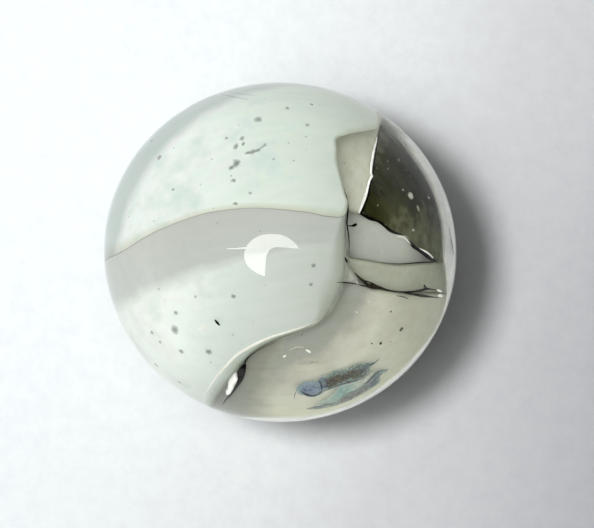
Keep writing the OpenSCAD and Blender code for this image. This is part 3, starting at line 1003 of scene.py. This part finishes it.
makeBubbles(airBubbles)
pebbles("ashFlecks", ashFlecks, crumbs("furnaceAsh", "#5c6a60", "#98a49a", 0.1))
threads("ashTrails", ashTrails, crumbs("furnaceAshDrawn", "#75827a", "#a6b2a8", 0.18))
pebbles("burntFlecks", burntFlecks, crumbs("furnaceSoot", "#2c2a22", "#6d6a5c", 0.7))
pebbles("bubbleGlintSpecks", bubbleGlintSpecks, crumbs("paintedBubbleGlints", "#c4c6b4", "#ffffff", 0.25))
print("bubbles and flecks made")

studio = {
    # the paper's tones get darker away from the lamps: painted shade
    "paperShadeTones": [(-12, "#dadfe0"), (-5, "#d8dddd"), (3, "#cfd2d2"), (8, "#c1c3c4"), (12, "#bcbec0"),
                   (18, "#acaeb1")],
    "paperSlope": (0.97, -0.24), "paperHalfMm": 600,
    "toothMm": 0.8, "toothHeightMm": 0.02, "toothTones": [(0.35, "#f8f7f9"), (0.65, "#ffffff")],
    "keyWatts": 2.0, "keySizeMm": 92, "keyDistanceMm": 500, "keyHeight": 75.0, "keyAzimuth": 163,
    "sideWatts": 0.6, "sideSizeMm": 400, "sideDistanceMm": 600, "sideHeight": 45, "sideAzimuth": 172,
    "topWatts": 2.9, "topSizeMm": 380, "topDepthMm": 310, "topDistanceMm": 600, "topHeight": 83.95,
    "topAzimuth": 209,
    "flagHeightMm": 190, "flagMm": [(-10, 10.5), (70, 10.5), (70, -160), (-28, -160), (-28, -12), (-22, 1)],
    # the room's light by the height of a direction, as its sine, or by how near it is to another
    "skyStrength": 0.03, "horizonStrength": 0.6, "horizonBetween": (0.05, 0.35),
    "insideStrength": 0.7, "insideBetween": (0.7, 0.9),
    "wallAzimuth": -45, "wallPolar": 75, "wallShare": 1.0, "wallBetween": (-0.2, 0.9),
    "standAzimuth": -110, "standShare": 0.2, "standBetween": (0.7, 0.92),
    "rollDegrees": 4.49, "cameraMm": 200, "frameWidthMm": 27.47, "aimMm": (0.77, -0.55),
}


def makePaper():
    # Uncoated paper: matt with a faint tooth. Its tone darkens away from the lamps, which is painted
    # shade. The tooth is drawn coarser than paper's own, which would be too fine to show.
    material, tree = newMaterial("paperUncoated")
    place = add(tree, "ShaderNodeTexCoord").outputs["Object"]
    along = add(tree, "ShaderNodeVectorMath", {
        "operation": "DOT_PRODUCT", 1: (*studio["paperSlope"], 0)}, {0: place})
    tone = tonesAlong(tree, along.outputs["Value"], studio["paperShadeTones"])
    tooth, toothTone = mottle(
        tree, place, studio["toothMm"], studio["toothTones"], detail=5.0, roughness=0.75)
    mottled = add(tree, "ShaderNodeMix", {"data_type": "RGBA", "blend_type": "MULTIPLY", 0: 1.0},
                  {6: tone, 7: toothTone})
    bump = add(tree, "ShaderNodeBump", {
        "Strength": 0.2, "Distance": studio["toothHeightMm"] * mm}, {"Height": tooth})
    shader = add(tree, "ShaderNodeBsdfPrincipled", {"Roughness": 0.9, "Specular IOR Level": 0.0},
                 {"Base Color": mottled.outputs[2], "Normal": bump.outputs[0]})
    add(tree, "ShaderNodeOutputMaterial", {}, {"Surface": shader.outputs[0]})
    half, z = studio["paperHalfMm"] * mm, ballLow.z
    corners = [(-half, -half, z), (half, -half, z), (half, half, z), (-half, half, z)]
    mesh = bpy.data.meshes.new("paper")
    mesh.from_pydata(corners, [], [(0, 1, 2, 3)])
    mesh.materials.append(material)
    paper = bpy.data.objects.new("paper", mesh)
    scene.collection.objects.link(paper)


def makeLamp(name):
    # a round lamp that faces the marble, or a long one that hangs level with its length along the view
    lamp = bpy.data.lights.new(name + "Lamp", "AREA")
    lamp.shape = "ELLIPSE"
    lamp.size = studio[name + "SizeMm"] * mm
    lamp.size_y = studio.get(name + "DepthMm", studio[name + "SizeMm"]) * mm
    lamp.energy = studio[name + "Watts"]
    holder = bpy.data.objects.new(name + "Lamp", lamp)
    away = globe(studio[name + "Azimuth"], 90 - studio[name + "Height"])
    holder.location = ballMiddle + away * studio[name + "DistanceMm"] * mm
    if name + "DepthMm" in studio:
        holder.rotation_euler = (0, 0, math.radians(studio["rollDegrees"]))
    else:
        holder.rotation_euler = away.to_track_quat("Z", "Y").to_euler()
    scene.collection.objects.link(holder)
    return holder


def makeFlag():
    # a dark card beside the lens, which keeps the lamp off the paper on that side
    material, tree = newMaterial("blackCard")
    shader = add(tree, "ShaderNodeBsdfDiffuse", {"Color": linear("#1a1a1a")})
    add(tree, "ShaderNodeOutputMaterial", {}, {"Surface": shader.outputs[0]})
    corners = [ballMiddle + Vector((x, y, studio["flagHeightMm"])) * mm for x, y in studio["flagMm"]]
    mesh = bpy.data.meshes.new("flag")
    mesh.from_pydata(corners, [], [tuple(range(len(corners)))])
    mesh.materials.append(material)
    flag = bpy.data.objects.new("flag", mesh)
    flag.visible_camera = False
    scene.collection.objects.link(flag)


def makeRoom():
    # Straight at the lens, and in and through glass, the room is pale near the horizon.
    # Its light on the paper and the marble is dim, so the lamps make the shadows.
    world = bpy.data.worlds.new("room")
    scene.world = world
    world.use_nodes = True
    tree = world.node_tree
    tree.nodes.clear()
    ray = add(tree, "ShaderNodeLightPath")
    way = add(tree, "ShaderNodeTexCoord").outputs["Generated"]
    height = add(tree, "ShaderNodeSeparateXYZ", {}, {0: way}).outputs["Z"]
    low, high = studio["horizonBetween"]
    sheen = add(tree, "ShaderNodeMapRange", {
        "interpolation_type": "SMOOTHSTEP", "From Min": low, "From Max": high,
        "To Min": studio["horizonStrength"], "To Max": studio["skyStrength"]}, {"Value": height})
    # someone stands on one side and darkens what the glass mirrors there
    toStand = add(tree, "ShaderNodeVectorMath", {
        "operation": "DOT_PRODUCT", 1: globe(studio["standAzimuth"], 90)}, {0: way})
    low, high = studio["standBetween"]
    stand = add(tree, "ShaderNodeMapRange", {
        "interpolation_type": "SMOOTHSTEP", "From Min": low, "From Max": high,
        "To Min": 1.0, "To Max": studio["standShare"]}, {"Value": toStand.outputs["Value"]})
    mirrored = add(tree, "ShaderNodeMath", {"operation": "MULTIPLY"},
                   {0: sheen.outputs[0], 1: stand.outputs[0]})
    low, high = studio["insideBetween"]
    inside = add(tree, "ShaderNodeMapRange", {
        "interpolation_type": "SMOOTHSTEP", "From Min": low, "From Max": high,
        "To Min": studio["insideStrength"], "To Max": studio["skyStrength"]}, {"Value": height})
    # a pale wall beyond the dark side of the marble lights its folds through the clear glass
    toWall = add(tree, "ShaderNodeVectorMath", {
        "operation": "DOT_PRODUCT", 1: globe(studio["wallAzimuth"], studio["wallPolar"])}, {0: way})
    low, high = studio["wallBetween"]
    wall = add(tree, "ShaderNodeMapRange", {
        "interpolation_type": "SMOOTHSTEP", "From Min": low, "From Max": high,
        "To Min": 1.0, "To Max": 1.0 + studio["wallShare"]}, {"Value": toWall.outputs["Value"]})
    walled = add(tree, "ShaderNodeMath", {"operation": "MULTIPLY"},
                 {0: inside.outputs[0], 1: wall.outputs[0]})
    bounced = add(tree, "ShaderNodeMath", {"operation": "GREATER_THAN", 1: 0.5},
                  {0: ray.outputs["Diffuse Depth"]})
    level = add(tree, "ShaderNodeMix", {},
                {"Factor": bounced.outputs[0], "A": mirrored.outputs[0], "B": walled.outputs[0]})
    through = add(tree, "ShaderNodeMath", {"operation": "MAXIMUM"},
                  {0: ray.outputs["Is Glossy Ray"], 1: ray.outputs["Is Transmission Ray"]})
    strength = add(tree, "ShaderNodeMix", {"A": studio["skyStrength"]},
                   {"Factor": through.outputs[0], "B": level.outputs[0]})
    shown = add(tree, "ShaderNodeMix", {"B": 1.0},
                {"Factor": ray.outputs["Is Camera Ray"], "A": strength.outputs[0]})
    back = add(tree, "ShaderNodeBackground", {"Color": linear("#f0f1ed")}, {"Strength": shown.outputs[0]})
    add(tree, "ShaderNodeOutputWorld", {}, {"Surface": back.outputs[0]})


def makeCamera():
    camera = bpy.data.cameras.new("camera")
    camera.sensor_width = 36
    camera.lens = camera.sensor_width * studio["cameraMm"] / studio["frameWidthMm"]
    camera.clip_start, camera.clip_end = 0.005, 5
    eye = bpy.data.objects.new("camera", camera)
    roll = math.radians(studio["rollDegrees"])
    right = Vector((math.cos(roll), math.sin(roll), 0))
    up = Vector((-math.sin(roll), math.cos(roll), 0))
    aim = studio["aimMm"]
    eye.location = ballMiddle + (right * aim[0] + up * aim[1] + Vector((0, 0, studio["cameraMm"]))) * mm
    eye.rotation_euler = (0, 0, roll)
    scene.collection.objects.link(eye)
    scene.camera = eye


makePaper()
makeLamp("key").visible_glossy = False
makeLamp("side").visible_glossy = False
makeLamp("top")
makeFlag()
makeRoom()
makeCamera()
scene.view_settings.view_transform = "Standard"
# light that is trapped between the opal and the clear glass has to bounce on for a while
scene.cycles.max_bounces = 24
scene.cycles.diffuse_bounces = 12
scene.cycles.glossy_bounces = 12
print("table, lamps and camera placed")
